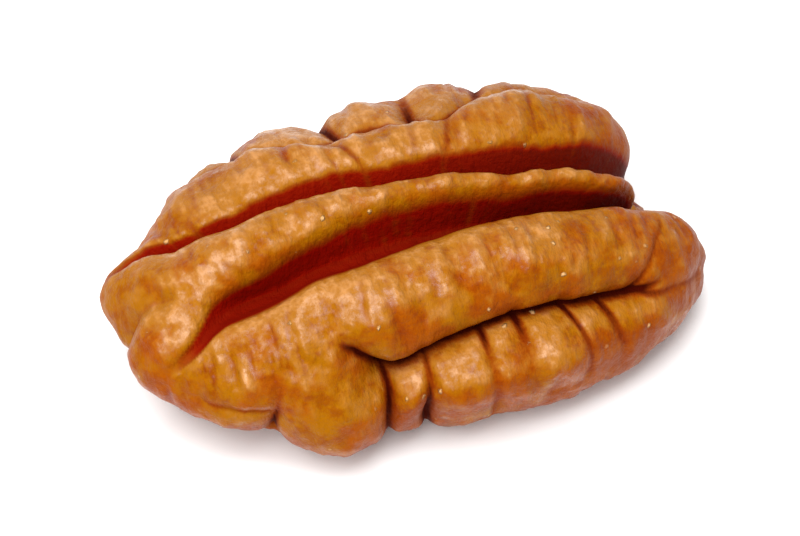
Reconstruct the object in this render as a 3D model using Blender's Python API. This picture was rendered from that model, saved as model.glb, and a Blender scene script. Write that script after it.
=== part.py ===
"""One shelled half of a pecan kernel, lying on its flat inner side.

The half is one piece that grew as one: two lobes with a narrow ridge between them. Its surface is
a closed form, raised and furrowed by formula. A place on it is a station, from -1 at the left tip
to 1 at the right tip, and an angle about the long axis: 0 on the crown, 90 at the back edge, -90 at
the front edge and 180 under the middle. X runs along the half, Y to its back, Z up, and the origin
is under its middle, on the surface that it lies on.
"""

import bmesh
import bpy
import numpy as np

# Driving dimension; all others are given in 34ths of it, so that the half keeps its proportions
LENGTH = 0.0315
UNIT = LENGTH / 34

# The plain form, before it is furrowed
FRONT_HALF_WIDTH = 10.2 * UNIT
BACK_HALF_WIDTH = 11.2 * UNIT
HEIGHT = 10.6 * UNIT
WAIST = 3.5 * UNIT  # height of the widest line
SOLE_SINK = 0.55 * UNIT  # how far the plain form reaches below the surface, where it is cut flat
TIP_FULLNESS = 3.0  # 2 gives a pointed oval, more a blunter one
DOME_TAPER = 0.85  # how the height above the waist falls to the tips, 1 as fast as the width
BASE_TAPER = 0.5
DOME_FULLNESS = 2.15  # across the half, above the waist: 2 gives an oval, more a fuller one
BASE_FULLNESS = 2.4

# Mesh of the solid
MERIDIANS = 84
RINGS = 66
CROWN_CROWDING = 0.30  # share by which meridians crowd towards the grooved crown
MIDDLE_CROWDING = 0.22  # share by which rings crowd towards the middle of the length

# The furrows run along these points: (station, angle in degrees, depth, half width)
MAIN_GROOVES = {
    "back_groove": [
        (-0.94, 50, 0.3, 0.5), (-0.87, 41, 1.0, 0.45), (-0.80, 31, 1.5, 0.45), (-0.72, 25, 2.0, 0.5),
        (-0.61, 24, 2.5, 0.55), (-0.48, 24, 3.1, 0.6), (-0.16, 21, 3.4, 0.65), (0.15, 17.5, 3.6, 0.7),
        (0.45, 15.5, 3.9, 0.85), (0.72, 17, 4.0, 0.95), (0.88, 25.5, 3.8, 1.0), (0.955, 50, 3.1, 1.0),
        (0.97, 98, 2.0, 0.9),
    ],
    "front_groove": [
        (-0.88, -57, 0.1, 0.35), (-0.84, -52, 0.35, 0.35), (-0.79, -46, 0.65, 0.38), (-0.745, -39.5, 1.1, 0.5),
        (-0.69, -32.5, 2.2, 0.8), (-0.60, -28, 2.8, 0.9), (-0.48, -24.5, 3.0, 0.98), (-0.30, -19.5, 3.0, 1.1),
        (-0.09, -14.5, 3.2, 1.1), (0.12, -12.5, 3.4, 0.95), (0.38, -12.5, 3.6, 0.8), (0.62, -15.5, 3.5, 0.75),
        (0.82, -20, 3.2, 0.8), (0.94, -27, 2.6, 0.8), (0.99, -60, 1.2, 0.7),
    ],
    "inner_trough": [
        (-0.86, 180, 0.5, 1.8), (-0.55, 180, 1.7, 2.3), (0.0, 178, 2.3, 2.5), (0.55, 180, 2.7, 2.3),
        (0.86, 178, 2.8, 1.7), (0.98, 165, 2.0, 1.3),
    ],
}

CREASES = {
    "front_side": [
        (-0.34, -56, 0.5, 0.4), (-0.30, -63, 1.6, 0.45), (-0.25, -70, 3.0, 0.6), (-0.19, -70.5, 2.8, 0.5),
        (-0.08, -69, 2.4, 0.5), (0.04, -67, 2.3, 0.45), (0.18, -65, 2.2, 0.45), (0.32, -64, 2.2, 0.45),
        (0.45, -65, 2.2, 0.45), (0.58, -66.5, 2.1, 0.45), (0.69, -67, 1.5, 0.45), (0.76, -66, 0.7, 0.4),
    ],
    "front_side_up": [
        (0.67, -67, 1.2, 0.4), (0.715, -60, 0.7, 0.3), (0.75, -53, 0.45, 0.25), (0.79, -44, 0.4, 0.25),
        (0.82, -35, 0.3, 0.25),
    ],
    "front_side_down": [
        (0.70, -68, 0.9, 0.45), (0.78, -72, 0.6, 0.5), (0.87, -78, 0.45, 0.6), (0.94, -88, 0.3, 0.6),
    ],
    "pit_fold": [
        (-0.25, -70, 2.6, 0.5), (-0.23, -77, 2.0, 0.4), (-0.225, -86, 1.8, 0.4), (-0.225, -98, 1.6, 0.5),
        (-0.23, -118, 0.9, 0.6),
    ],
    "edge_fold_1": [
        (-0.075, -69, 2.0, 0.4), (-0.08, -75, 1.5, 0.35), (-0.09, -83, 1.5, 0.4), (-0.09, -96, 1.5, 0.45),
        (-0.10, -118, 0.9, 0.6),
    ],
    "edge_fold_2": [
        (0.13, -66, 1.6, 0.4), (0.13, -74, 0.9, 0.4), (0.13, -84, 0.6, 0.5), (0.12, -100, 0.3, 0.6),
    ],
    "edge_fold_3": [
        (0.25, -65, 1.5, 0.4), (0.25, -73, 0.8, 0.4), (0.25, -82, 0.4, 0.5),
    ],
    "edge_fold_4": [
        (0.42, -65, 1.5, 0.4), (0.43, -74, 0.8, 0.4), (0.44, -86, 0.5, 0.5),
    ],
    "edge_fold_5": [
        (0.56, -67, 1.2, 0.4), (0.57, -74, 0.6, 0.4), (0.58, -80, 0.3, 0.5),
    ],
    "left_fold": [
        (-0.55, -58, 0.1, 0.5), (-0.59, -72, 0.3, 0.4), (-0.61, -83, 1.0, 0.4), (-0.62, -98, 1.7, 0.5),
    ],
    "left_lip": [
        (-0.86, -70, 0.1, 0.3), (-0.76, -76, 0.4, 0.3), (-0.63, -79, 0.5, 0.3),
    ],
    "curl": [
        (-0.80, -18, 0.2, 0.35), (-0.835, -13, 0.6, 0.35), (-0.88, -9, 0.9, 0.4), (-0.925, -9, 1.1, 0.45),
        (-0.96, -17, 1.3, 0.45), (-0.985, -32, 1.3, 0.45), (-0.995, -75, 1.1, 0.5),
    ],
    "nub_under": [
        (-0.995, -75, 1.1, 0.5), (-0.997, -130, 0.9, 0.6), (-0.98, -195, 0.5, 0.7),
    ],
    "back_left": [
        (-0.20, 54, 0.4, 0.5), (-0.13, 44, 0.6, 0.4), (-0.10, 32, 0.6, 0.4), (-0.08, 22, 0.6, 0.4),
    ],
    "back_side": [
        (-0.62, 62, 0.2, 0.6), (-0.40, 58, 0.7, 0.5), (-0.18, 50, 0.9, 0.5), (0.02, 52, 0.9, 0.45),
        (0.12, 48, 0.9, 0.45), (0.24, 46, 1.0, 0.5), (0.40, 56, 1.1, 0.6), (0.58, 60, 1.1, 0.6),
        (0.72, 58, 0.9, 0.6),
    ],
    "back_edge_fold_1": [
        (-0.45, 62, 0.8, 0.6), (-0.48, 84, 1.2, 0.6), (-0.50, 105, 0.9, 0.7),
    ],
    "back_edge_fold_2": [
        (-0.10, 54, 1.2, 0.5), (-0.13, 70, 1.2, 0.5), (-0.15, 108, 1.0, 0.7),
    ],
    "back_edge_fold_3": [
        (0.14, 50, 1.1, 0.5), (0.16, 74, 1.0, 0.6), (0.15, 100, 0.6, 0.7),
    ],
    "back_edge_fold_4": [
        (0.41, 58, 0.8, 0.6), (0.44, 80, 1.0, 0.6), (0.47, 110, 0.9, 0.7),
    ],
    "back_fold_5": [
        (0.24, 44, 0.5, 0.5), (0.22, 30, 0.5, 0.4), (0.18, 20, 0.4, 0.4),
    ],
    "sole_front": [
        (-0.60, -132, 0.3, 0.8), (-0.25, -140, 0.6, 0.8), (0.15, -137, 0.6, 0.8), (0.55, -142, 0.3, 0.8),
    ],
    "sole_back": [
        (-0.50, 138, 0.3, 0.8), (-0.10, 143, 0.6, 0.8), (0.30, 137, 0.6, 0.8), (0.62, 142, 0.3, 0.8),
    ],
}

# Long swellings along the same kind of points: (station, angle in degrees, rise, half width)
ROLLS = {
    "front_roll": [
        (-0.70, -62, 0.0, 2.5), (-0.30, -46, 0.5, 2.5), (0.10, -40, 0.8, 2.5), (0.50, -39, 0.6, 2.4),
        (0.85, -42, 0.0, 2.2),
    ],
    "lower_fold": [
        (-0.20, -84, 0.3, 1.6), (0.05, -79, 0.9, 1.6), (0.40, -77.5, 0.9, 1.6), (0.70, -77, 0.5, 1.7),
    ],
    "back_roll": [
        (-0.80, 55, 0.0, 2.4), (-0.40, 44, 0.5, 2.4), (0.05, 38, 0.7, 2.4), (0.50, 38, 0.9, 2.5),
        (0.90, 46, 0.2, 2.4),
    ],
    "back_fold": [
        (-0.40, 76, 0.2, 2.0), (-0.05, 68, 0.6, 2.0), (0.25, 70, 0.8, 2.0), (0.60, 78, 0.4, 2.0),
    ],
    "ridge": [
        (-0.75, 0, 0.5, 1.7), (-0.40, 4, 0.8, 1.7), (0.0, 4, 0.7, 1.5), (0.45, 3, 0.1, 1.2), (0.75, 2, 0.1, 1.2),
        (0.88, 2, 0.0, 1.2),
    ],
}

# Swellings and hollows of the whole form: (station, angle in degrees, rise, radius)
SWELLINGS = {
    "nub": (-0.97, 58, 1.0, 2.4),
    "nub_top": (-0.90, 22, 0.5, 2.0),
    "nub_foot": (-0.985, 140, -1.4, 2.0),
    "curl_end": (-0.92, -36, 0.9, 2.2),
    "left_front_lift": (-0.80, -125, -2.4, 5.0),
    "left_front_rim": (-0.84, -82, 1.1, 3.0),
    "rim_end": (-0.965, -72, 1.0, 2.2),
    "fold_foot": (-0.40, -84, 0.5, 3.0),
    "front_tip": (0.96, -66, 0.8, 4.0),
    "back_tip": (0.97, 44, -1.0, 3.6),
    "ridge_tip": (0.985, 12, -3.2, 2.6),
    "back_notch": (0.95, 104, -1.1, 2.0),
    "left_back": (-0.84, 80, -1.2, 4.2),
}

WALL_POWER = 5.5  # steepness of the walls of a main groove
GROOVE_SHOULDER = (0.24, 2.0 * UNIT)  # share of the depth, and how far the rounding reaches
CREASE_SHOULDER = (0.45, 1.5 * UNIT)
FLOOR_RADIUS = 0.9 * UNIT  # rounding of the floor of a main groove
VALLEY_RADIUS = 0.12 * UNIT  # rounding at the very bottom of a crease
CURVE_STEPS = 9  # points between two given points of a furrow
LEAST = 1e-9  # keeps divisions sound at the tips
BLEND = 3.0  # power by which crossing furrows run into each other, instead of adding up
CORE_SHARE = 0.62  # length of the core line that the surface is raised from, to the whole length
LEAST_REACH = 0.12  # share of the plain form's reach that is always left over the core line

# Uneven growth: (size of the unevenness, height of it)
UNDULATIONS = ((7.0 * UNIT, 0.45 * UNIT), (3.0 * UNIT, 0.22 * UNIT))
WANDER = (3.2 * UNIT, 0.35 * UNIT)  # how the furrows stray from their points
LATTICE = 32  # cells of unevenness along each axis before it repeats
SEED = 11

SKIN_COLOUR = (0.47, 0.17, 0.03, 1.0)
SKIN_ROUGHNESS = 0.42


def clear_scene():
    """Removes every object that the scene starts with."""
    for old in list(bpy.data.objects):
        bpy.data.objects.remove(old, do_unlink=True)


def plain_form(station, angle):
    """Points of the plain form at these stations and angles, the angles in radians."""
    fullness = np.sqrt(np.clip(1 - np.abs(station) ** TIP_FULLNESS, 0, 1))
    side, rise = np.sin(angle), np.cos(angle)
    half_width = np.where(side > 0, BACK_HALF_WIDTH, FRONT_HALF_WIDTH) * fullness
    height = np.where(
        rise > 0,
        (HEIGHT - WAIST) * fullness**DOME_TAPER,
        (WAIST + SOLE_SINK) * fullness**BASE_TAPER,
    )
    power = np.where(rise > 0, DOME_FULLNESS, BASE_FULLNESS)
    reach = (
        np.abs(side / np.maximum(half_width, LEAST)) ** power
        + np.abs(rise / np.maximum(height, LEAST)) ** power
    ) ** (-1 / power)
    along = station * LENGTH / 2
    return np.stack([along, reach * side, WAIST + reach * rise], -1)


def lattice_noise(points, cell, seed):
    """Smooth noise from -1 to 1 at these points, with about one rise in each cell."""
    rng = np.random.default_rng(seed)
    lattice = rng.uniform(-1, 1, (LATTICE,) * 3)
    scaled = points / cell
    low = np.floor(scaled).astype(int)
    part = scaled - low
    part = part * part * (3 - 2 * part)
    total = np.zeros(points.shape[:-1])
    for corner in np.ndindex(2, 2, 2):
        at = (low + corner) % LATTICE
        weight = np.prod(np.where(corner, part, 1 - part), axis=-1)
        total += weight * lattice[at[..., 0], at[..., 1], at[..., 2]]
    return total


def smooth_line(points):
    """A Catmull-Rom line through the given rows, with CURVE_STEPS rows between two of them."""
    rows = np.array(points, float)
    rows = np.vstack([2 * rows[0] - rows[1], rows, 2 * rows[-1] - rows[-2]])
    line = []
    for a, b, c, d in zip(rows, rows[1:], rows[2:], rows[3:]):
        for t in np.arange(CURVE_STEPS) / CURVE_STEPS:
            bend = (2 * a - 5 * b + 4 * c - d) * t**2 + (3 * b - a - 3 * c + d) * t**3
            line.append(0.5 * (2 * b + (c - a) * t + bend))
    line.append(rows[-2])
    return np.array(line)


def nearest_on_line(places, line):
    """Distance from each place to the furrow, and the furrow's depth and half width there."""
    path = plain_form(np.clip(line[:, 0], -1, 1), np.radians(line[:, 1]))
    nearest = np.full(len(places), np.inf)
    depth = np.zeros(len(places))
    width = np.ones(len(places))
    for i in range(len(path) - 1):
        step = path[i + 1] - path[i]
        share = np.clip((places - path[i]) @ step / max(step @ step, LEAST**2), 0, 1)
        away = np.linalg.norm(places - path[i] - share[:, None] * step, axis=1)
        closer = away < nearest
        nearest = np.where(closer, away, nearest)
        depth = np.where(closer, line[i, 2] + share * (line[i + 1, 2] - line[i, 2]), depth)
        width = np.where(closer, line[i, 3] + share * (line[i + 1, 3] - line[i, 3]), width)
    return nearest, depth * UNIT, width * UNIT


def groove_cut(places, points):
    """Depth of a main groove: a trench with steep walls and rounded shoulders."""
    away, depth, width = nearest_on_line(places, smooth_line(points))
    share, reach = GROOVE_SHOULDER
    trench = 1 / (1 + (away / width) ** WALL_POWER)
    away = np.sqrt(away**2 + FLOOR_RADIUS**2) - FLOOR_RADIUS
    return depth * ((1 - share) * trench + share * np.exp(-away / reach))


def crease_cut(places, points):
    """Depth of a crease: a sharp valley where two swollen folds meet."""
    away, depth, width = nearest_on_line(places, smooth_line(points))
    share, reach = CREASE_SHOULDER
    away = np.sqrt(away**2 + VALLEY_RADIUS**2) - VALLEY_RADIUS
    return depth * ((1 - share) * np.exp(-away / width) + share * np.exp(-away / reach))


def roll_rise(places, points):
    """Height of a long swelling."""
    away, rise, width = nearest_on_line(places, smooth_line(points))
    return rise * np.exp(-((away / width) ** 2))


def swelling_rise(places, station, angle, rise, radius):
    """Height added by one swelling, or taken away by one hollow."""
    centre = plain_form(np.array([station]), np.radians([angle]))[0]
    away = np.linalg.norm(places - centre, axis=1)
    return rise * UNIT * np.exp(-((away / (radius * UNIT)) ** 2))


def kernel_surface(station, angle):
    """Points of the half's surface at these stations and angles, the angles in radians."""
    plain = plain_form(station, angle)
    cell, height = WANDER
    stray = np.stack([lattice_noise(plain, cell, SEED + i) for i in range(3)], -1)
    places = plain + height * stray
    cuts = [groove_cut(places, points) for points in MAIN_GROOVES.values()]
    cuts += [crease_cut(places, points) for points in CREASES.values()]
    furrowed = sum(cut**BLEND for cut in cuts) ** (1 / BLEND)
    raised = sum(swelling_rise(plain, *swelling) for swelling in SWELLINGS.values())
    raised = raised + sum(roll_rise(plain, points) for points in ROLLS.values())
    for i, (cell, height) in enumerate(UNDULATIONS):
        raised = raised + height * lattice_noise(plain, cell, SEED + 10 + i)
    core = np.stack([CORE_SHARE * plain[:, 0], 0 * plain[:, 1], WAIST + 0 * plain[:, 2]], -1)
    outward = plain - core
    reach = np.linalg.norm(outward, axis=1, keepdims=True)
    new_reach = np.maximum(reach + (raised - furrowed)[:, None], LEAST_REACH * reach)
    surface = core + outward / reach * new_reach
    surface[:, 2] = np.maximum(surface[:, 2], 0.0)
    return surface


def make_skin():
    """The brown skin of the kernel."""
    skin = bpy.data.materials.new("kernel_skin")
    skin.use_nodes = True
    shader = skin.node_tree.nodes["Principled BSDF"]
    shader.inputs["Base Color"].default_value = SKIN_COLOUR
    shader.inputs["Roughness"].default_value = SKIN_ROUGHNESS
    shader.inputs["Metallic"].default_value = 0.0
    return skin


def make_half():
    """The half as a ball whose poles are its two tips, moved point by point onto the surface."""
    shape = bmesh.new()
    bmesh.ops.create_uvsphere(shape, u_segments=MERIDIANS, v_segments=RINGS, radius=1)
    ball = np.array([vertex.co for vertex in shape.verts])
    station = ball[:, 2] * (1 - MIDDLE_CROWDING * (1 - ball[:, 2] ** 2))
    turn = np.arctan2(ball[:, 1], ball[:, 0])
    surface = kernel_surface(station, turn - CROWN_CROWDING * np.sin(turn))
    middle = (surface.max(0) + surface.min(0)) / 2
    for vertex, point in zip(shape.verts, surface):
        vertex.co = (point[0] - middle[0], point[1] - middle[1], point[2])
    bmesh.ops.triangulate(shape, faces=shape.faces, quad_method="SHORT_EDGE")
    bmesh.ops.recalc_face_normals(shape, faces=shape.faces)
    mesh = bpy.data.meshes.new("pecan_half")
    shape.to_mesh(mesh)
    shape.free()
    mesh.shade_smooth()
    mesh.materials.append(make_skin())
    return bpy.data.objects.new("pecan_half", mesh)


def main():
    clear_scene()
    parts = bpy.data.collections.new("pecan_half")
    bpy.context.scene.collection.children.link(parts)
    parts.objects.link(make_half())


main()
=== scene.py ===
"""The looks of a shelled pecan half, which lies on its flat inner side.

The half has one piece: its kernel. The frame holds it as a plain solid, and this script replaces the
solid by the same form with all of its fine wrinkles and a tan, amber and maroon skin, on which
sheen, highlights, glints and shade are painted.

A place on the form is a station, from -1 at the left tip to 1 at the right tip, and an angle about
the long axis: 0 on the crown, 90 at the back edge, -90 at the front edge and 180 under the middle.
Lengths on the form are in units, 34 of which make its length. Fitting the form to the frame's solid
turns them into metres. X runs along the half, Y to its back, and Z up.
"""

import logging
import math
from dataclasses import dataclass, field
from enum import Enum

import bmesh
import bpy
import numpy as np
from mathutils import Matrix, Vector


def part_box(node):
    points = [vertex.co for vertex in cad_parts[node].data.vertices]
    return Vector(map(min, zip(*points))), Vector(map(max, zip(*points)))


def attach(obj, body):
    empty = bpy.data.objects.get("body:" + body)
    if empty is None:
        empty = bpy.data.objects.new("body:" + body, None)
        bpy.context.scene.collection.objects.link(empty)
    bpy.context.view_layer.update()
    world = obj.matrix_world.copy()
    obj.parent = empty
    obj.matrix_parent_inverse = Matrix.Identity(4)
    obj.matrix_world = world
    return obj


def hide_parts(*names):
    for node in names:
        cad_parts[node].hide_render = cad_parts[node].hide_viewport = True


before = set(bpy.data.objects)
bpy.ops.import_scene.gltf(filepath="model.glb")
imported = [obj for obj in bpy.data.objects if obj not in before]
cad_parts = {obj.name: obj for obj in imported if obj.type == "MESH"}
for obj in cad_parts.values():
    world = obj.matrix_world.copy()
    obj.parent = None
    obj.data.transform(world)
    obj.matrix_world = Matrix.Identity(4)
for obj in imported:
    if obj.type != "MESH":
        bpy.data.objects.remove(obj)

LOG = logging.getLogger("pecan")

NODE = "pecan_half"
BODY = "root"

# Cells along each side of the lattice that noise is read from
LATTICE_SIDE = 32

# The least numbers that are divided by
LEAST_SIZE = 1e-6
LEAST_STEP = 1e-9

Colour = tuple[float, float, float, float]
LinePoint = tuple[float, float, float, float]


def seen(red: int, green: int, blue: int) -> Colour:
    """Turns a colour as it is seen, from 0 to 255, into the linear values that shaders take.

    Args:
        red: red as seen.
        green: green as seen.
        blue: blue as seen.

    Returns:
        The linear red, green and blue, and an alpha of 1.
    """

    def linear(part: int) -> float:
        """Turns one part of the colour linear."""
        share = part / 255
        return share / 12.92 if share <= 0.04045 else ((share + 0.055) / 1.055) ** 2.4

    return (linear(red), linear(green), linear(blue), 1.0)


class Wire:
    """A node's output, with which shader maths is written as a Python expression."""

    def __init__(self, maker: "NodeMaker", socket: bpy.types.NodeSocket) -> None:
        """Keeps the socket and the maker of its tree."""
        self.maker = maker
        self.socket = socket

    def math(self, operation: str, *values: "Wire | float", clamp: bool = False) -> "Wire":
        """Adds a Math node.

        Args:
            operation: the Math node's operation.
            values: its inputs in order.
            clamp: whether the result is kept between 0 and 1.

        Returns:
            The node's output.
        """
        settings = {"operation": operation, "use_clamp": clamp}
        return self.maker.make("ShaderNodeMath", settings, dict(enumerate(values)))

    def __add__(self, other: "Wire | float") -> "Wire":
        """Adds."""
        return self.math("ADD", self, other)

    def __radd__(self, other: float) -> "Wire":
        """Adds, with the number first."""
        return self.math("ADD", other, self)

    def __sub__(self, other: "Wire | float") -> "Wire":
        """Subtracts."""
        return self.math("SUBTRACT", self, other)

    def __rsub__(self, other: float) -> "Wire":
        """Subtracts this from a number."""
        return self.math("SUBTRACT", other, self)

    def __mul__(self, other: "Wire | float") -> "Wire":
        """Multiplies."""
        return self.math("MULTIPLY", self, other)

    def __rmul__(self, other: float) -> "Wire":
        """Multiplies, with the number first."""
        return self.math("MULTIPLY", other, self)

    def clamped(self) -> "Wire":
        """Keeps the value between 0 and 1."""
        return self.math("ADD", self, 0.0, clamp=True)

    def spread(self, low: float, high: float, most: float = 1.0) -> "Wire":
        """Stretches the range from low to high smoothly to the range from 0 to most.

        Args:
            low: the value that becomes 0.
            high: the value that becomes the most.
            most: the highest value of the result.

        Returns:
            The stretched value.
        """
        settings = {"interpolation_type": "SMOOTHSTEP"}
        sockets = {"Value": self, "From Min": low, "From Max": high, "To Max": most}
        return self.maker.make("ShaderNodeMapRange", settings, sockets)


class NodeMaker:
    """Adds nodes to one material's tree."""

    # The sockets of a Mix node for colours, by number, because they share their names with others
    FIRST_COLOUR = 6
    SECOND_COLOUR = 7
    MIXED_COLOUR = 2

    NOISE_MIDDLE = 0.5

    def __init__(self, material: bpy.types.Material) -> None:
        """Takes a material.

        Args:
            material: the material whose nodes it makes.
        """
        material.use_nodes = True
        self.tree = material.node_tree
        self.shader = self.tree.nodes["Principled BSDF"]

    def connect(self, socket: bpy.types.NodeSocket, value: "Wire | Colour | float") -> None:
        """Links a wire to a socket, or sets the socket's own value.

        Args:
            socket: a node's input.
            value: the wire, number or colour that it takes.
        """
        if isinstance(value, Wire):
            self.tree.links.new(value.socket, socket)
        else:
            socket.default_value = value

    def dress(self, sockets: dict[str, "Wire | Colour | float"]) -> None:
        """Connects the shader's own sockets, by name."""
        for name, value in sockets.items():
            self.connect(self.shader.inputs[name], value)

    def make(
        self,
        kind: str,
        settings: dict | None = None,
        sockets: dict | None = None,
        output: int | str = 0,
    ) -> Wire:
        """Adds one node.

        Args:
            kind: the node's type.
            settings: its settings, such as a Math node's operation.
            sockets: values or wires of its inputs, by name or number.
            output: which output is wanted.

        Returns:
            That output.
        """
        node = self.tree.nodes.new(kind)
        for name, value in (settings or {}).items():
            setattr(node, name, value)
        for name, value in (sockets or {}).items():
            self.connect(node.inputs[name], value)
        return Wire(self, node.outputs[output])

    def mixed(self, share: Wire, first: Wire | Colour, second: Colour) -> Wire:
        """Mixes two colours.

        Args:
            share: share of the second colour.
            first: the first colour.
            second: the second colour.

        Returns:
            The mixed colour.
        """
        sockets = {"Factor": share, self.FIRST_COLOUR: first, self.SECOND_COLOUR: second}
        return self.make("ShaderNodeMix", {"data_type": "RGBA"}, sockets, self.MIXED_COLOUR)

    def measure(self, name: str) -> Wire:
        """Reads a measure that the mesh carries at its points."""
        return self.make("ShaderNodeAttribute", {"attribute_name": name}, output="Fac")

    def noise(self, place: Wire, waves: float, detail: float, roughness: float) -> Wire:
        """Adds noise from -0.5 to 0.5.

        Args:
            place: the coordinates it is read at, in metres.
            waves: waves in each metre.
            detail: how many finer layers it has.
            roughness: how strong the finer layers are.

        Returns:
            The noise.
        """
        sockets = {"Vector": place, "Scale": waves, "Detail": detail, "Roughness": roughness}
        return self.make("ShaderNodeTexNoise", None, sockets) - self.NOISE_MIDDLE


class Measure(Enum):
    """What the mesh tells the skin's shader at each point.

    Upward runs from -1 to 1, and the others from 0 to 1.
    """

    # How far into a main groove a place lies: the grooves' own maroon, and painted shade deep in them and
    # up the back groove's wall
    FURROW = "furrow"
    # How far into a crease a place lies: the shader paints shade there from it
    VALLEY = "valley"
    # Which way the skin faces: the shader paints sheen on upward-facing skin and shade on the sides and
    # underneath from it
    UPWARD = "upward"
    WRINKLE = "wrinkle"
    RELIEF = "relief"


class Profile(Enum):
    """How the surface runs across a line of the form."""

    GROOVE = "steep walls and a rounded floor"
    CREASE = "a sharp valley where two swollen folds meet"
    WRINKLE = "a fine shallow line"
    ROLL = "a long rounded swelling"


def smooth_noise(points: np.ndarray, cell: tuple[float, float, float], seed: int) -> np.ndarray:
    """Gives smooth noise from -1 to 1.

    Args:
        points: rows of X, Y and Z.
        cell: size of a cell along X, Y and Z, each with about one rise.
        seed: which noise it is.

    Returns:
        The noise at each point.
    """
    lattice = np.random.default_rng(seed).uniform(-1, 1, (LATTICE_SIDE,) * 3)
    scaled = points / np.array(cell)
    low = np.floor(scaled).astype(int)
    part = scaled - low
    part = part * part * (3 - 2 * part)
    total = np.zeros(len(points))
    for corner in np.ndindex(2, 2, 2):
        at = (low + corner) % LATTICE_SIDE
        weight = np.prod(np.where(corner, part, 1 - part), axis=-1)
        total += weight * lattice[at[:, 0], at[:, 1], at[:, 2]]
    return total


def smoothed(value: np.ndarray, low: float, high: float) -> np.ndarray:
    """Rises smoothly from 0 at low to 1 at high."""
    share = np.clip((value - low) / (high - low), 0, 1)
    return share * share * (3 - 2 * share)


@dataclass(frozen=True)
class PlainForm:
    """The half before it is furrowed: a long dome on a shallow, nearly flat base."""

    length: float = 34.0
    front_half_width: float = 10.2
    back_half_width: float = 11.2
    height: float = 10.6
    waist: float = 3.5
    sole_sink: float = 0.55
    tip_fullness: float = 3.0
    dome_fullness: float = 2.15
    base_fullness: float = 2.4
    dome_taper: float = 0.85
    base_taper: float = 0.5

    def points(self, station: np.ndarray, angle: np.ndarray) -> np.ndarray:
        """Gives places on the form.

        Args:
            station: from -1 at the left tip to 1 at the right tip.
            angle: about the long axis, in radians.

        Returns:
            Rows of X, Y and Z in units.
        """
        fullness = np.sqrt(np.clip(1 - np.abs(station) ** self.tip_fullness, 0, 1))
        side, rise = np.sin(angle), np.cos(angle)
        half_width = np.where(side > 0, self.back_half_width, self.front_half_width) * fullness
        over_waist = (self.height - self.waist) * fullness**self.dome_taper
        under_waist = (self.waist + self.sole_sink) * fullness**self.base_taper
        height = np.where(rise > 0, over_waist, under_waist)
        power = np.where(rise > 0, self.dome_fullness, self.base_fullness)
        across = np.abs(side / np.maximum(half_width, LEAST_SIZE)) ** power
        upright = np.abs(rise / np.maximum(height, LEAST_SIZE)) ** power
        reach = (across + upright) ** (-1 / power)
        return np.stack([station * self.length / 2, reach * side, self.waist + reach * rise], -1)


PLAIN = PlainForm()


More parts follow.
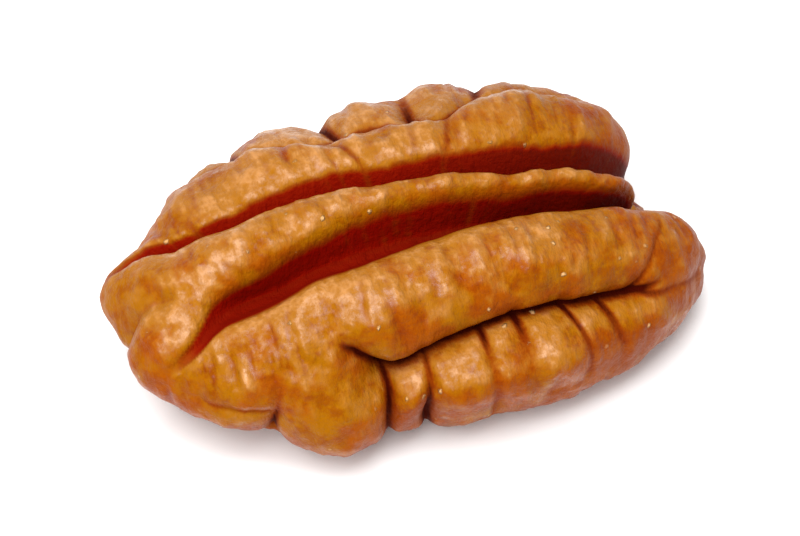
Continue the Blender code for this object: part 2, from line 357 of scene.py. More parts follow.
@dataclass(frozen=True)
class SurfaceLine:
    """A line on the form along which the surface dips or swells.

    Each point is a station, an angle in degrees, a depth or rise, and a half width.
    """

    profile: Profile
    points: tuple[LinePoint, ...]
    steps: int = 8
    groove_wall: float = 5.5
    groove_shoulder: tuple[float, float] = (0.24, 2.0)
    crease_shoulder: tuple[float, float] = (0.45, 1.5)
    floor_radius: float = 0.9
    valley_radius: float = 0.07
    # How far and how strongly a crease's painted shade reaches
    shade_reach: float = 0.45
    shade_fall: float = 1.5
    dark_depth: float = 1.35

    def rows(self) -> np.ndarray:
        """Draws the smooth line through the points.

        Returns:
            Rows like the points, with several steps between two of them.
        """
        given = np.array(self.points, float)
        given = np.vstack([2 * given[0] - given[1], given, 2 * given[-1] - given[-2]])
        line = []
        for a, b, c, d in zip(given, given[1:], given[2:], given[3:]):
            for t in np.arange(self.steps) / self.steps:
                bend = (2 * a - 5 * b + 4 * c - d) * t**2 + (3 * b - a - 3 * c + d) * t**3
                line.append(0.5 * (2 * b + (c - a) * t + bend))
        line.append(given[-2])
        return np.array(line)

    def path(self) -> np.ndarray:
        """Gives the smooth line's places on the plain form."""
        rows = self.rows()
        return PLAIN.points(np.clip(rows[:, 0], -1, 1), np.radians(rows[:, 1]))

    def near(self, places: np.ndarray, margin: float) -> np.ndarray:
        """Marks the places in the box round the line.

        Args:
            places: rows of X, Y and Z.
            margin: how far the box reaches past the line.

        Returns:
            True where a place is in the box.
        """
        path = self.path()
        low, high = path.min(0) - margin, path.max(0) + margin
        return np.all((places > low) & (places < high), axis=1)

    def nearest(self, places: np.ndarray) -> tuple[np.ndarray, np.ndarray, np.ndarray]:
        """Measures from each place to the line.

        Args:
            places: rows of X, Y and Z.

        Returns:
            The distance, and the line's depth and half width at its nearest point.
        """
        line = self.rows()
        path = self.path()
        nearest = np.full(len(places), np.inf)
        depth = np.zeros(len(places))
        width = np.ones(len(places))
        for start, end, first, last in zip(path, path[1:], line, line[1:]):
            step = end - start
            share = np.clip((places - start) @ step / max(step @ step, LEAST_STEP), 0, 1)
            away = np.linalg.norm(places - start - share[:, None] * step, axis=1)
            closer = away < nearest
            nearest = np.where(closer, away, nearest)
            depth = np.where(closer, first[2] + share * (last[2] - first[2]), depth)
            width = np.where(closer, first[3] + share * (last[3] - first[3]), width)
        return nearest, depth, width

    def height(self, places: np.ndarray) -> tuple[np.ndarray, np.ndarray]:
        """Measures how far the line moves each place, and how dark it makes it.

        Args:
            places: rows of X, Y and Z.

        Returns:
            The dip or rise, and the share from 0 to 1 by which the place lies in the line's valley, which
            for a crease is its painted shade.
        """
        away, depth, width = self.nearest(places)
        if self.profile is Profile.GROOVE:
            share, reach = self.groove_shoulder
            core = 1 / (1 + (away / width) ** self.groove_wall)
            away = np.sqrt(away**2 + self.floor_radius**2) - self.floor_radius
            return depth * ((1 - share) * core + share * np.exp(-away / reach)), core
        if self.profile is Profile.CREASE:
            share, reach = self.crease_shoulder
            away = np.sqrt(away**2 + self.valley_radius**2) - self.valley_radius
            core = np.exp(-away / width)
            shade = np.exp(-((away / (self.shade_reach * width)) ** self.shade_fall))
            shade = shade * np.clip(depth / self.dark_depth, 0, 1)
            return depth * ((1 - share) * core + share * np.exp(-away / reach)), shade
        core = np.exp(-((away / width) ** 2))
        return depth * core, core


def groove(*points: LinePoint) -> SurfaceLine:
    """Makes a main groove."""
    return SurfaceLine(Profile.GROOVE, points)


def crease(*points: LinePoint) -> SurfaceLine:
    """Makes a crease."""
    return SurfaceLine(Profile.CREASE, points)


def roll(*points: LinePoint) -> SurfaceLine:
    """Makes a long swelling."""
    return SurfaceLine(Profile.ROLL, points)


MAIN_GROOVES = {
    "back_groove": groove(
        (-0.94, 50, 0.3, 0.5), (-0.87, 41, 1.0, 0.45), (-0.80, 31, 1.5, 0.45), (-0.72, 25, 2.0, 0.5),
        (-0.61, 24, 2.5, 0.55), (-0.48, 24, 3.1, 0.6), (-0.16, 21, 3.4, 0.65), (0.15, 17.5, 3.6, 0.7),
        (0.45, 15.5, 3.9, 0.85), (0.72, 17, 4.0, 0.95), (0.88, 25.5, 3.8, 1.0), (0.955, 50, 3.1, 1.0),
        (0.97, 98, 2.0, 0.9),
    ),
    "front_groove": groove(
        (-0.88, -57, 0.1, 0.35), (-0.84, -52, 0.35, 0.35), (-0.79, -46, 0.65, 0.38),
        (-0.745, -39.5, 1.1, 0.5), (-0.69, -32.5, 2.2, 0.8), (-0.60, -28, 2.8, 0.9),
        (-0.48, -24.5, 3.0, 0.98), (-0.30, -19.5, 3.0, 1.1), (-0.09, -14.5, 3.2, 1.1),
        (0.12, -12.5, 3.4, 0.95), (0.38, -12.5, 3.6, 0.8), (0.62, -15.5, 3.5, 0.75),
        (0.82, -20, 3.2, 0.8), (0.94, -27, 2.6, 0.8), (0.99, -60, 1.2, 0.7),
    ),
    "inner_trough": groove(
        (-0.86, 180, 0.5, 1.8), (-0.55, 180, 1.7, 2.3), (0.0, 178, 2.3, 2.5), (0.55, 180, 2.7, 2.3),
        (0.86, 178, 2.8, 1.7), (0.98, 165, 2.0, 1.3),
    ),
}

CREASES = {
    "front_side": crease(
        (-0.34, -56, 0.5, 0.4), (-0.30, -63, 1.6, 0.45), (-0.25, -70, 3.0, 0.6), (-0.19, -70.5, 2.8, 0.5),
        (-0.08, -69, 2.4, 0.5), (0.04, -67, 2.3, 0.45), (0.18, -65, 2.2, 0.45), (0.32, -64, 2.2, 0.45),
        (0.45, -65, 2.2, 0.45), (0.58, -66.5, 2.1, 0.45), (0.69, -67, 1.5, 0.45), (0.76, -66, 0.7, 0.4),
    ),
    "front_side_up": crease(
        (0.67, -67, 1.2, 0.4), (0.715, -60, 0.7, 0.3), (0.75, -53, 0.45, 0.25), (0.79, -44, 0.4, 0.25),
        (0.82, -35, 0.3, 0.25),
    ),
    "front_side_down": crease(
        (0.70, -68, 0.9, 0.45), (0.78, -72, 0.6, 0.5), (0.87, -78, 0.45, 0.6), (0.94, -88, 0.3, 0.6),
    ),
    "pit_fold": crease(
        (-0.25, -70, 2.6, 0.5), (-0.23, -77, 2.0, 0.4), (-0.225, -86, 1.8, 0.4), (-0.225, -98, 1.6, 0.5),
        (-0.23, -118, 0.9, 0.6),
    ),
    "edge_fold_1": crease(
        (-0.075, -69, 2.0, 0.4), (-0.08, -75, 1.5, 0.35), (-0.09, -83, 1.5, 0.4), (-0.09, -96, 1.5, 0.45),
        (-0.10, -118, 0.9, 0.6),
    ),
    "edge_fold_2": crease(
        (0.13, -66, 1.6, 0.4), (0.13, -74, 0.9, 0.4), (0.13, -84, 0.6, 0.5), (0.12, -100, 0.3, 0.6),
    ),
    "edge_fold_3": crease(
        (0.25, -65, 1.5, 0.4), (0.25, -73, 0.8, 0.4), (0.25, -82, 0.4, 0.5),
    ),
    "edge_fold_4": crease(
        (0.42, -65, 1.5, 0.4), (0.43, -74, 0.8, 0.4), (0.44, -86, 0.5, 0.5),
    ),
    "edge_fold_5": crease(
        (0.56, -67, 1.2, 0.4), (0.57, -74, 0.6, 0.4), (0.58, -80, 0.3, 0.5),
    ),
    "left_fold": crease(
        (-0.55, -58, 0.1, 0.5), (-0.59, -72, 0.3, 0.4), (-0.61, -83, 1.0, 0.4), (-0.62, -98, 1.7, 0.5),
    ),
    "left_lip": crease(
        (-0.86, -70, 0.1, 0.3), (-0.76, -76, 0.4, 0.3), (-0.63, -79, 0.5, 0.3),
    ),
    "curl": crease(
        (-0.80, -18, 0.2, 0.35), (-0.835, -13, 0.6, 0.35), (-0.88, -9, 0.9, 0.4), (-0.925, -9, 1.1, 0.45),
        (-0.96, -17, 1.3, 0.45), (-0.985, -32, 1.3, 0.45), (-0.995, -75, 1.1, 0.5),
    ),
    "nub_under": crease(
        (-0.995, -75, 1.1, 0.5), (-0.997, -130, 0.9, 0.6), (-0.98, -195, 0.5, 0.7),
    ),
    "back_left": crease(
        (-0.20, 54, 0.4, 0.5), (-0.13, 44, 0.6, 0.4), (-0.10, 32, 0.6, 0.4), (-0.08, 22, 0.6, 0.4),
    ),
    "back_side": crease(
        (-0.62, 62, 0.2, 0.6), (-0.40, 58, 0.7, 0.5), (-0.18, 50, 0.9, 0.5), (0.02, 52, 0.9, 0.45),
        (0.12, 48, 0.9, 0.45), (0.24, 46, 1.0, 0.5), (0.40, 56, 1.1, 0.6), (0.58, 60, 1.1, 0.6),
        (0.72, 58, 0.9, 0.6),
    ),
    "back_edge_fold_1": crease(
        (-0.45, 62, 0.8, 0.6), (-0.48, 84, 1.2, 0.6), (-0.50, 105, 0.9, 0.7),
    ),
    "back_edge_fold_2": crease(
        (-0.10, 54, 1.2, 0.5), (-0.13, 70, 1.2, 0.5), (-0.15, 108, 1.0, 0.7),
    ),
    "back_edge_fold_3": crease(
        (0.14, 50, 1.1, 0.5), (0.16, 74, 1.0, 0.6), (0.15, 100, 0.6, 0.7),
    ),
    "back_edge_fold_4": crease(
        (0.41, 58, 0.8, 0.6), (0.44, 80, 1.0, 0.6), (0.47, 110, 0.9, 0.7),
    ),
    "back_fold_5": crease(
        (0.24, 44, 0.5, 0.5), (0.22, 30, 0.5, 0.4), (0.18, 20, 0.4, 0.4),
    ),
    "sole_front": crease(
        (-0.60, -132, 0.3, 0.8), (-0.25, -140, 0.6, 0.8), (0.15, -137, 0.6, 0.8), (0.55, -142, 0.3, 0.8),
    ),
    "sole_back": crease(
        (-0.50, 138, 0.3, 0.8), (-0.10, 143, 0.6, 0.8), (0.30, 137, 0.6, 0.8), (0.62, 142, 0.3, 0.8),
    ),
}

ROLLS = {
    "front_roll": roll(
        (-0.70, -62, 0.0, 2.5), (-0.30, -46, 0.5, 2.5), (0.10, -40, 0.8, 2.5), (0.50, -39, 0.6, 2.4),
        (0.85, -42, 0.0, 2.2),
    ),
    "lower_fold": roll(
        (-0.20, -84, 0.3, 1.6), (0.05, -79, 0.9, 1.6), (0.40, -77.5, 0.9, 1.6), (0.70, -77, 0.5, 1.7),
    ),
    "back_roll": roll(
        (-0.80, 55, 0.0, 2.4), (-0.40, 44, 0.5, 2.4), (0.05, 38, 0.7, 2.4), (0.50, 38, 0.9, 2.5),
        (0.90, 46, 0.2, 2.4),
    ),
    "back_fold": roll(
        (-0.40, 76, 0.2, 2.0), (-0.05, 68, 0.6, 2.0), (0.25, 70, 0.8, 2.0), (0.60, 78, 0.4, 2.0),
    ),
    "ridge": roll(
        (-0.75, 0, 0.5, 1.7), (-0.40, 4, 0.8, 1.7), (0.0, 4, 0.7, 1.5), (0.45, 3, 0.1, 1.2),
        (0.75, 2, 0.1, 1.2), (0.88, 2, 0.0, 1.2),
    ),
}

# Swellings and hollows: a station, an angle in degrees, a rise and a radius
SWELLINGS = {
    "nub": (-0.97, 58, 1.0, 2.4),
    "nub_top": (-0.90, 22, 0.5, 2.0),
    "nub_foot": (-0.985, 140, -1.4, 2.0),
    "curl_end": (-0.92, -36, 0.9, 2.2),
    "left_front_lift": (-0.80, -125, -2.4, 5.0),
    "left_front_rim": (-0.84, -82, 1.1, 3.0),
    "rim_end": (-0.965, -72, 1.0, 2.2),
    "fold_foot": (-0.40, -84, 0.5, 3.0),
    "front_tip": (0.96, -66, 0.8, 4.0),
    "back_tip": (0.97, 44, -1.0, 3.6),
    "ridge_tip": (0.985, 12, -3.2, 2.6),
    "back_notch": (0.95, 104, -1.1, 2.0),
    "left_back": (-0.84, 80, -1.2, 4.2),
}

# How far up the walls of a main groove its own maroon and the painted shade reach, as shares of the
# groove's strength: where the dark starts, and where it is full. The back groove's dark reaches high
# up the back roll's wall, and is painted shade there
DARK_WALLS = {
    "back_groove": (0.01, 0.3),
    "front_groove": (0.03, 0.7),
    "inner_trough": (0.8, 3.0),
}


@dataclass(frozen=True)
class WrinkledBand:
    """A stretch of skin that fine wrinkles cross, from its upper to its lower angle.

    Each wrinkle runs over a part of the way down, where 0 is the upper angle and 1 the lower.
    """

    stations: tuple[float, float]
    upper: tuple[float, float]
    lower: tuple[float, float]
    spacing: float
    depth: float
    starts_at_top: float = 0.6
    ends: tuple[float, float] = (0.4, 1.0)
    starts: tuple[float, float] = (0.1, 0.6)
    slant: float = 0.022
    bow: float = 0.012
    depths: tuple[float, float] = (0.35, 1.0)
    half_widths: tuple[float, float] = (0.16, 0.34)
    gaps: tuple[float, float] = (0.55, 1.5)
    strengths: tuple[float, float, float] = (0.4, 1.0, 0.15)
    steps: int = 4

    def wrinkles(self, rng: np.random.Generator) -> list[SurfaceLine]:
        """Draws the band's wrinkles.

        Args:
            rng: the source of their unevenness.

        Returns:
            One line for each wrinkle.
        """
        lines = []
        station = self.stations[0]
        while station < self.stations[1]:
            share = (station - self.stations[0]) / (self.stations[1] - self.stations[0])
            top = self.upper[0] + share * (self.upper[1] - self.upper[0])
            bottom = self.lower[0] + share * (self.lower[1] - self.lower[0])
            if rng.random() < self.starts_at_top:
                first, last = 0.0, rng.uniform(*self.ends)
            else:
                first, last = rng.uniform(*self.starts), 1.0
            slant = rng.normal(0.0, self.slant)
            bow = rng.normal(0.0, self.bow)
            depth = self.depth * rng.uniform(*self.depths)
            width = rng.uniform(*self.half_widths)
            points = []
            for at, strength in zip((first, (first + last) / 2, last), self.strengths):
                lean = slant * (at - 0.5) + bow * math.sin(math.pi * at)
                points.append((station + lean, top + at * (bottom - top), depth * strength, width))
            lines.append(SurfaceLine(Profile.WRINKLE, tuple(points), self.steps))
            station += self.spacing * rng.uniform(*self.gaps)
        return lines


WRINKLED_BANDS = {
    "front_roll": WrinkledBand((-0.62, 0.84), (-36, -24), (-66, -58), 0.045, 0.18),
    "front_left": WrinkledBand((-0.90, -0.30), (-52, -40), (-86, -88), 0.05, 0.2),
    "ridge": WrinkledBand((-0.74, 0.80), (8, 4), (-16, -8), 0.05, 0.18),
    "back_roll": WrinkledBand((-0.80, 0.88), (56, 48), (24, 20), 0.042, 0.2),
    "lower_fold": WrinkledBand((-0.20, 0.90), (-72, -70), (-104, -100), 0.05, 0.16),
    "back_side": WrinkledBand((-0.70, 0.85), (60, 64), (112, 110), 0.055, 0.26),
    "right_end": WrinkledBand((0.80, 0.97), (-34, -34), (-80, -80), 0.04, 0.2),
    "inner_front": WrinkledBand((-0.70, 0.80), (-112, -110), (-158, -158), 0.07, 0.12),
    "inner_back": WrinkledBand((-0.70, 0.80), (112, 112), (158, 158), 0.07, 0.12),
}


@dataclass
class KernelShape:
    """The half's surface with all of its lines, wrinkles and unevenness, in units."""

    blend: float = 3.0
    shade_blend: float = 4.0
    core_share: float = 0.62
    least_reach: float = 0.12
    groove_margin: float = 9.0
    crease_margin: float = 5.0
    wrinkle_margin: float = 1.2
    full_wrinkle: float = 0.26
    full_relief: float = 0.16
    wander: tuple[float, float] = (3.2, 0.35)
    undulations: tuple[tuple[float, float], ...] = ((7.0, 0.45), (3.0, 0.22))
    bumps: tuple[tuple[tuple[float, float, float], float], ...] = (
        ((1.3, 1.9, 1.9), 0.17),
        ((0.6, 1.0, 1.0), 0.1),
        ((0.3, 0.45, 0.45), 0.05),
    )
    wander_seed: int = 11
    undulation_seed: int = 21
    bump_seed: int = 31
    wrinkle_seed: int = 11
    measures: dict[Measure, np.ndarray] = field(default_factory=dict)

    def strayed(self, plain: np.ndarray) -> np.ndarray:
        """Moves places a little, so that the lines on them wander.

        Args:
            plain: rows of X, Y and Z on the plain form.

        Returns:
            The moved rows.
        """
        cell, height = self.wander
        stray = [smooth_noise(plain, (cell,) * 3, self.wander_seed + i) for i in range(3)]
        return plain + height * np.stack(stray, -1)

    def furrowed(self, places: np.ndarray) -> np.ndarray:
        """Measures how deep the grooves and creases go at each place, and keeps their maroon and painted
        shade.

        Args:
            places: rows of X, Y and Z.

        Returns:
            The depth at each place.
        """
        total = np.zeros(len(places))
        dark = np.zeros(len(places))
        valley = np.zeros(len(places))
        for name, line in [*MAIN_GROOVES.items(), *CREASES.items()]:
            is_groove = line.profile is Profile.GROOVE
            at = line.near(places, self.groove_margin if is_groove else self.crease_margin)
            cut, core = line.height(places[at])
            total[at] += cut**self.blend
            if is_groove:
                shade = smoothed(core, *DARK_WALLS[name]) * np.clip(cut, 0, 1)
                dark[at] += shade**self.shade_blend
            else:
                valley[at] += core**self.shade_blend
        self.measures[Measure.FURROW] = np.clip(dark, 0, 1) ** (1 / self.shade_blend)
        self.measures[Measure.VALLEY] = np.clip(valley, 0, 1) ** (1 / self.shade_blend)
        return total ** (1 / self.blend)

    def raised(self, plain: np.ndarray) -> np.ndarray:
        """Measures how far rolls, swellings and undulations raise each place.

        Args:
            plain: rows of X, Y and Z on the plain form.

        Returns:
            The rise at each place.
        """
        total = sum(line.height(plain)[0] for line in ROLLS.values())
        for station, angle, rise, radius in SWELLINGS.values():
            centre = PLAIN.points(np.array([station]), np.radians([angle]))[0]
            away = np.linalg.norm(plain - centre, axis=1)
            total = total + rise * np.exp(-((away / radius) ** 2))
        for i, (cell, height) in enumerate(self.undulations):
            total = total + height * smooth_noise(plain, (cell,) * 3, self.undulation_seed + i)
        return total

    def wrinkled(self, places: np.ndarray) -> np.ndarray:
        """Measures how deep the fine wrinkles go at each place, and keeps how strong they are.

        Args:
            places: rows of X, Y and Z.

        Returns:
            The depth at each place.
        """
        rng = np.random.default_rng(self.wrinkle_seed)
        depth = np.zeros(len(places))
        strength = np.zeros(len(places))
        for band in WRINKLED_BANDS.values():
            for line in band.wrinkles(rng):
                at = line.near(places, self.wrinkle_margin)
                cut = line.height(places[at])[0]
                depth[at] = np.maximum(depth[at], cut)
                strength[at] = np.maximum(strength[at], cut / self.full_wrinkle)
        self.measures[Measure.WRINKLE] = np.clip(strength, 0, 1)
        return depth

    def bumped(self, plain: np.ndarray) -> np.ndarray:
        """Measures the low bumps of the skin, and keeps how high they are.

        Args:
            plain: rows of X, Y and Z on the plain form.

        Returns:
            The rise at each place.
        """
        relief = np.zeros(len(plain))
        for i, (cell, height) in enumerate(self.bumps):
            relief += height * smooth_noise(plain, cell, self.bump_seed + i)
        self.measures[Measure.RELIEF] = smoothed(relief, -self.full_relief, self.full_relief)
        return relief

    def surface(self, station: np.ndarray, angle: np.ndarray) -> np.ndarray:
        """Gives the finished surface.

        Args:
            station: from -1 at the left tip to 1 at the right tip.
            angle: about the long axis, in radians.

        Returns:
            Rows of X, Y and Z in units.
        """
        plain = PLAIN.points(station, angle)
        places = self.strayed(plain)
        change = self.raised(plain) - self.furrowed(places) - self.wrinkled(places)
        change = change + self.bumped(plain)
        core = plain * np.array([self.core_share, 0, 0]) + np.array([0, 0, PLAIN.waist])
        outward = plain - core
        reach = np.linalg.norm(outward, axis=1, keepdims=True)
        new_reach = np.maximum(reach + change[:, None], self.least_reach * reach)
        surface = core + outward / reach * new_reach
        surface[:, 2] = np.maximum(surface[:, 2], 0.0)
        return surface


@dataclass(frozen=True)
class SkinPlaces:
    """Where the skin's features lie and how fine they are.

    A range is where a feature starts and where it is full. Ranges along the half are in metres from
    its middle, and the others are in the measure that they are read from. A noise has its waves in a
    metre, its finer layers and their strength.
    """

    right_part: tuple[float, float] = (-0.004, 0.016)
    left_end: tuple[float, float] = (-0.0155, -0.0105)
    upper_skin: tuple[float, float] = (0.35, 0.95)
    low_rim: tuple[float, float] = (0.75, 1.2)
    underside: tuple[float, float] = (1.2, 1.8)
    right_dulling: float = 0.45
    left_dulling: float = 0.35
    mottle: tuple[float, float, float] = (620.0, 4.0, 0.6)
    grain: tuple[float, float, float] = (2600.0, 4.0, 0.65)
    fibre: tuple[float, float, float] = (2900.0, 3.0, 0.55)
    hue: tuple[float, float, float] = (380.0, 3.0, 0.6)
    fibre_stretch: tuple[float, float, float] = (1.0, 0.35, 0.35)
    # Where the painted glints lie: cell size, soft edge, how many, raggedness and strength
    speck_cells: float = 1200.0
    speck_edge: tuple[float, float] = (0.03, 0.17)
    speck_chance: tuple[float, float] = (0.76, 0.95)
    speck_raggedness: float = 0.6
    speck_strength: float = 0.75


class SkinFeatures:
    """What the skin's colour and gloss follow, each as a wire."""

    def __init__(self, maker: NodeMaker, places: SkinPlaces) -> None:
        """Adds the nodes of all features.

        Args:
            maker: the maker of the nodes.
            places: where the features lie and how fine they are.
        """
        place = maker.make("ShaderNodeTexCoord", output="Object")
        along = maker.make("ShaderNodeSeparateXYZ", None, {"Vector": place})
        stretch = {"Vector": place, "Scale": places.fibre_stretch}
        self.furrow = maker.measure(Measure.FURROW.value)
        self.valley = maker.measure(Measure.VALLEY.value)
        self.upward = maker.measure(Measure.UPWARD.value)
        self.relief = maker.measure(Measure.RELIEF.value)
        self.wrinkle = maker.measure(Measure.WRINKLE.value)
        self.mottle = maker.noise(place, *places.mottle)
        self.grain = maker.noise(place, *places.grain)
        self.fibre = maker.noise(maker.make("ShaderNodeMapping", None, stretch), *places.fibre)
        self.hue = maker.noise(place, *places.hue)
        self.right = along.spread(*places.right_part)
        left = 1 - along.spread(*places.left_end)
        # Upward-facing skin, less towards the two ends: it takes the painted sheen and the coat
        dulling = 1 - self.right * places.right_dulling - left * places.left_dulling
        self.top = self.upward.spread(*places.upper_skin) * dulling
        # The underside takes painted shade; the low rim only takes coat
        self.under = (1 - self.upward).spread(*places.underside)
        self.rim = (1 - self.upward).spread(*places.low_rim) - self.under
        self.speck = self.specks(maker, places, place)

    def specks(self, maker: NodeMaker, places: SkinPlaces, place: Wire) -> Wire:
        """Marks the tiny painted glints.

        Args:
            maker: the maker of the nodes.
            places: how fine and how many they are.
            place: the coordinates.

        Returns:
            The painted glints, from 0 to their strength.
        """
        cells = {"Vector": place, "Scale": places.speck_cells}
        away = maker.make("ShaderNodeTexVoronoi", None, cells, "Distance")
        ragged = away + self.grain * places.speck_raggedness
        cell_colour = maker.make("ShaderNodeTexVoronoi", None, cells, "Color")
        chance = maker.make("ShaderNodeSeparateColor", None, {"Color": cell_colour})
        open_skin = (1 - self.furrow) * places.speck_strength
        return (1 - ragged.spread(*places.speck_edge)) * chance.spread(*places.speck_chance) * open_skin

    def blend(self, start: float = 0.0, **weights: float) -> Wire:
        """Adds up features.

        Args:
            start: what the sum starts from.
            weights: how much of each feature is added, by the feature's name.

        Returns:
            The sum.
        """
        total: Wire | float = start
        for name, weight in weights.items():
            total = total + getattr(self, name) * weight
        return total


@dataclass(frozen=True)
class SkinFinish:
    """The kernel's oily skin: amber, tan partly painted sheen, maroon furrows, painted highlights, shade
    and glints.
    """

    # cream is a painted highlight; tan is the skin's paler tone and painted sheen; rust is a stain colour
    # and painted shade; maroon is the grooves' own skin; darkest is painted shade
    painted_highlight: Colour = seen(190, 132, 74)
    tan: Colour = seen(154, 98, 32)
    ochre: Colour = seen(144, 86, 2)
    amber: Colour = seen(140, 66, 2)
    rust: Colour = seen(116, 38, 2)
    maroon: Colour = seen(124, 3, 1)
    darkest: Colour = seen(54, 2, 2)
    speck: Colour = seen(225, 180, 125)
    underside_shade: float = 0.45
    roughness: float = 0.45
    specular: float = 0.22
    specular_tint: Colour = seen(255, 165, 50)
    oil: float = 0.75
    oil_roughness: float = 0.23
    bump_strength: float = 0.8
    bump_height: float = 0.0003
    places: SkinPlaces = SkinPlaces()

    def open_colour(self, maker: NodeMaker, features: SkinFeatures) -> Wire:
        """Mixes the colour of the open skin.

        Args:
            maker: the maker of the nodes.
            features: what the colour follows.

        Returns:
            The colour: amber and ochre, tan partly painted sheen, painted cream highlights, rust stains
                and painted shade.
        """
        # Ochre: the skin's own tone at random and less towards the right, and more on upward-facing skin
        # as painted light
        hue = features.blend(hue=1.0, right=-0.06, upward=0.12)
        # Tan: partly the skin's own paler blotches, partly painted sheen on upward-facing skin and bump
        # tops
        tone_and_sheen = features.blend(top=0.9, relief=0.3, mottle=2.2, fibre=1.2, wrinkle=-0.5)
        gleam = tone_and_sheen + features.blend(grain=1.6)
        # Rust: stains at random and more towards the right, plus painted shade on skin that faces
        # sideways or down and in bump hollows
        stain_and_shade = features.blend(
            0.3, upward=-0.2, right=0.2, mottle=-3.4, relief=-0.3, grain=1.4, top=-0.2
        )
        skin = maker.mixed(hue.spread(-0.06, 0.16), self.amber, self.ochre)
        skin = maker.mixed(tone_and_sheen.spread(0.3, 1.3), skin, self.tan)
        # Painted highlight: cream on the upward-facing crests, broken up by grain
        skin = maker.mixed(gleam.spread(0.9, 1.7, 0.7), skin, self.painted_highlight)
        return maker.mixed(stain_and_shade.spread(-0.1, 0.7, 0.55), skin, self.rust)

    def darkened(self, maker: NodeMaker, features: SkinFeatures, skin: Wire) -> Wire:
        """Gives the grooves the skin's own maroon, and paints shade in grooves and creases and
        underneath.

        Args:
            maker: the maker of the nodes.
            features: what the colour follows.
            skin: the colour of the open skin.

        Returns:
            The darkened colour.
        """
        edge = features.blend(furrow=1.0, mottle=0.35, grain=0.2)
        shade = features.blend(0.05, right=0.8, top=0.35).clamped()
        crevice_shade = features.blend(valley=1.0, wrinkle=0.5, grain=0.4)
        # The grooves' own rust and maroon skin; high up the back groove's wall it is painted shade
        skin = maker.mixed(edge.spread(0.06, 0.36, 0.8), skin, self.rust)
        skin = maker.mixed(edge.spread(0.25, 0.65), skin, self.maroon)
        # Painted shade deep in the grooves, stronger towards the right and on upward-facing groove floors
        skin = maker.mixed(edge.spread(0.35, 0.8) * shade, skin, self.darkest)
        # Painted shade in the creases and wrinkles
        skin = maker.mixed(crevice_shade.spread(0.05, 0.45, 0.9), skin, self.rust)
        skin = maker.mixed(crevice_shade.spread(0.3, 0.8), skin, self.darkest)
        # Painted shade on the underside
        return maker.mixed(features.under * self.underside_shade, skin, self.rust)

    def material(self) -> bpy.types.Material:
        """Makes the skin's material.

        Returns:
            The material.
        """
        material = bpy.data.materials.new("kernel_skin")
        maker = NodeMaker(material)
        features = SkinFeatures(maker, self.places)
        skin = self.darkened(maker, features, self.open_colour(maker, features))
        shine = features.blend(self.roughness, grain=0.3, mottle=0.4, furrow=0.3, valley=0.6)
        height = features.blend(grain=0.45, fibre=0.55, speck=1.0)
        oil = features.blend(
            top=0.7, rim=0.5, mottle=1.6, grain=2.0, relief=0.3, furrow=-1.6, valley=-1.6
        )
        bump = {"Strength": self.bump_strength, "Distance": self.bump_height, "Height": height}
        maker.dress({
            # The painted glints go onto the colour
            "Base Color": maker.mixed(features.speck, skin, self.speck),
            "Roughness": shine.clamped(),
            "Normal": maker.make("ShaderNodeBump", None, bump, "Normal"),
            "Specular IOR Level": self.specular,
            "Specular Tint": self.specular_tint,
            "Coat Weight": oil.spread(0.4, 1.3, self.oil),
            "Coat Roughness": self.oil_roughness,
        })
        return material


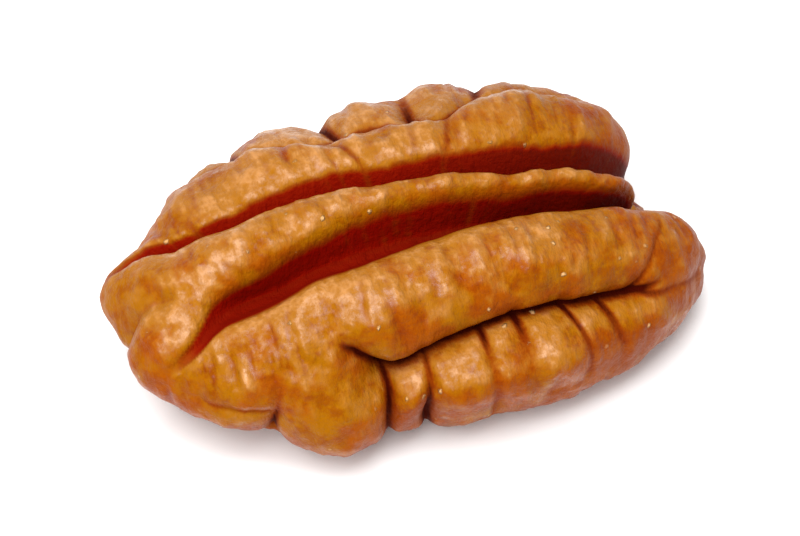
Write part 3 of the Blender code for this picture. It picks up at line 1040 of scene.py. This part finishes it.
@dataclass
class Kernel:
    """The one piece of the half."""

    meridians: int = 400
    rings: int = 236
    crown_crowding: float = 0.25
    middle_crowding: float = 0.22
    shape: KernelShape = field(default_factory=KernelShape)
    finish: SkinFinish = field(default_factory=SkinFinish)

    def fitted(self, surface: np.ndarray) -> np.ndarray:
        """Fits the surface to the solid that it replaces.

        Args:
            surface: rows of X, Y and Z in units.

        Returns:
            The rows in metres, in the solid's box.
        """
        low, high = (np.array(corner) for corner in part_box(NODE))
        least, most = surface.min(0), surface.max(0)
        return low + (surface - least) / (most - least) * (high - low)

    def ball(self) -> bpy.types.Mesh:
        """Makes a ball whose poles are the half's two tips.

        Returns:
            The ball's mesh.
        """
        shape = bmesh.new()
        bmesh.ops.create_uvsphere(shape, u_segments=self.meridians, v_segments=self.rings, radius=1)
        mesh = bpy.data.meshes.new("kernel")
        shape.to_mesh(mesh)
        shape.free()
        return mesh

    @staticmethod
    def rows(mesh: bpy.types.Mesh, name: str) -> np.ndarray:
        """Reads the place or the normal of each point.

        Args:
            mesh: the mesh.
            name: "co" for the places, "normal" for the normals.

        Returns:
            Rows of X, Y and Z.
        """
        values = np.empty(len(mesh.vertices) * 3)
        mesh.vertices.foreach_get(name, values)
        return values.reshape(-1, 3)

    def form(self, mesh: bpy.types.Mesh) -> None:
        """Gives a ball the kernel's shape.

        Args:
            mesh: the ball.
        """
        ball = self.rows(mesh, "co")
        station = ball[:, 2] * (1 - self.middle_crowding * (1 - ball[:, 2] ** 2))
        turn = np.arctan2(ball[:, 1], ball[:, 0])
        surface = self.shape.surface(station, turn - self.crown_crowding * np.sin(turn))
        mesh.vertices.foreach_set("co", self.fitted(surface).ravel())

    @staticmethod
    def face_outward(mesh: bpy.types.Mesh) -> None:
        """Turns all faces outward.

        Args:
            mesh: the kernel's mesh.
        """
        shape = bmesh.new()
        shape.from_mesh(mesh)
        bmesh.ops.recalc_face_normals(shape, faces=shape.faces)
        shape.to_mesh(mesh)
        shape.free()
        mesh.update()

    def write_measures(self, mesh: bpy.types.Mesh) -> None:
        """Gives the mesh the measures that the skin's shader reads.

        Args:
            mesh: the kernel's mesh.
        """
        measures = {**self.shape.measures, Measure.UPWARD: self.rows(mesh, "normal")[:, 2]}
        for measure, values in measures.items():
            attribute = mesh.attributes.new(measure.value, "FLOAT", "POINT")
            attribute.data.foreach_set("value", np.ascontiguousarray(values))

    def build(self) -> bpy.types.Object:
        """Builds the kernel and joins it to the frame.

        Returns:
            The kernel.
        """
        mesh = self.ball()
        self.form(mesh)
        self.face_outward(mesh)
        self.write_measures(mesh)
        mesh.shade_smooth()
        mesh.materials.append(self.finish.material())
        kernel = bpy.data.objects.new("kernel", mesh)
        bpy.context.scene.collection.objects.link(kernel)
        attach(kernel, BODY)
        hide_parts(NODE)
        LOG.info("kernel: %d points, %d faces", len(mesh.vertices), len(mesh.polygons))
        return kernel


def direction(azimuth: float, elevation: float) -> Vector:
    """Gives the direction from the half to a point round it.

    Args:
        azimuth: in degrees, 0 for the front and 90 for the right.
        elevation: in degrees above the floor.

    Returns:
        The direction, of length 1.
    """
    turn, rise = math.radians(azimuth), math.radians(elevation)
    return Vector((math.sin(turn) * math.cos(rise), -math.cos(turn) * math.cos(rise), math.sin(rise)))


@dataclass(frozen=True)
class SoftLight:
    """A soft studio light that points at the half."""

    name: str
    azimuth: float
    elevation: float
    away: float
    size: float
    power: float

    def place(self) -> None:
        """Puts the light in the scene."""
        light = bpy.data.lights.new(self.name, "AREA")
        light.energy = self.power
        light.size = self.size
        lamp = bpy.data.objects.new(self.name, light)
        toward = direction(self.azimuth, self.elevation)
        lamp.location = toward * self.away
        lamp.rotation_mode = "QUATERNION"
        lamp.rotation_quaternion = toward.to_track_quat("Z", "Y")
        bpy.context.scene.collection.objects.link(lamp)


@dataclass(frozen=True)
class Studio:
    """The white floor, the soft lights and the camera at the photograph's viewing angle."""

    floor_side: float = 1.2
    floor_colour: Colour = (0.96, 0.96, 0.96, 1.0)
    floor_roughness: float = 0.6
    sky_colour: Colour = (1.0, 1.0, 1.0, 1.0)
    sky_strength: float = 0.6
    azimuth: float = -18.0
    elevation: float = 50.0
    distance: float = 0.2214
    view_width: float = 0.0423
    aim: tuple[float, float, float] = (0.0006, 0.0019, 0.0017)
    sensor: float = 36.0
    clip_share: float = 0.01
    lights: tuple[SoftLight, ...] = (
        SoftLight("key_light", -70.0, 80.0, 0.35, 0.30, 1.6),
        SoftLight("fill_light", -45.0, 45.0, 0.40, 0.25, 0.75),
    )

    def build(self) -> None:
        """Builds the studio."""
        bpy.context.scene.view_settings.view_transform = "Standard"
        self.lay_floor()
        self.light_sky()
        for light in self.lights:
            light.place()
        self.place_camera()
        LOG.info("studio: floor, %d lights and camera", len(self.lights))

    def lay_floor(self) -> None:
        """Lays the floor."""
        shape = bmesh.new()
        bmesh.ops.create_grid(shape, x_segments=1, y_segments=1, size=self.floor_side / 2)
        mesh = bpy.data.meshes.new("floor")
        shape.to_mesh(mesh)
        shape.free()
        material = bpy.data.materials.new("white_floor")
        NodeMaker(material).dress({
            "Base Color": self.floor_colour,
            "Roughness": self.floor_roughness,
        })
        mesh.materials.append(material)
        floor = bpy.data.objects.new("floor", mesh)
        bpy.context.scene.collection.objects.link(floor)

    def light_sky(self) -> None:
        """Lights the scene evenly from all round."""
        world = bpy.data.worlds.new("sky")
        world.use_nodes = True
        background = world.node_tree.nodes["Background"]
        background.inputs["Color"].default_value = self.sky_colour
        background.inputs["Strength"].default_value = self.sky_strength
        bpy.context.scene.world = world

    def place_camera(self) -> None:
        """Places the camera."""
        data = bpy.data.cameras.new("camera")
        data.sensor_width = self.sensor
        data.lens = self.sensor * self.distance / self.view_width
        data.clip_start = self.distance * self.clip_share
        camera = bpy.data.objects.new("camera", data)
        toward = direction(self.azimuth, self.elevation)
        camera.location = Vector(self.aim) + toward * self.distance
        camera.rotation_mode = "QUATERNION"
        camera.rotation_quaternion = (-toward).to_track_quat("-Z", "Y")
        bpy.context.scene.collection.objects.link(camera)
        bpy.context.scene.camera = camera


def main() -> None:
    """Builds the half and its studio."""
    logging.basicConfig(level=logging.INFO, format="%(message)s")
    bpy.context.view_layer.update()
    Kernel().build()
    Studio().build()


if __name__ == "__main__":
    main()
